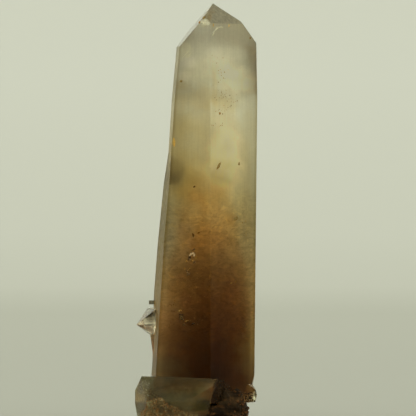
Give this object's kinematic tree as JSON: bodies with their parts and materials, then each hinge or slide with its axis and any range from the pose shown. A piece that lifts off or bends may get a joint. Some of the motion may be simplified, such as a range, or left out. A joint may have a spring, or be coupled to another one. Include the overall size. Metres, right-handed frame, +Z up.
{
  "type": "smoky quartz point",
  "caption": "Tall six-sided smoky quartz crystal with a pointed tip, standing on a rough, iron-stained rock foot with smaller clear crystals grown onto it.",
  "frame": {"origin": "centre of the foot, on the surface it stands on", "axes": "+Z up along the crystal to its tip, -Y towards the front edge of the prism, +X to the viewer's right"},
  "size_m": [0.0304, 0.0322, 0.105],
  "materials": {
    "quartz": "gloss",
    "matrix": "matte"
  },
  "bodies": {
    "root": {"quartz": "quartz", "matrix": "matrix"}
  },
  "joints": []
}
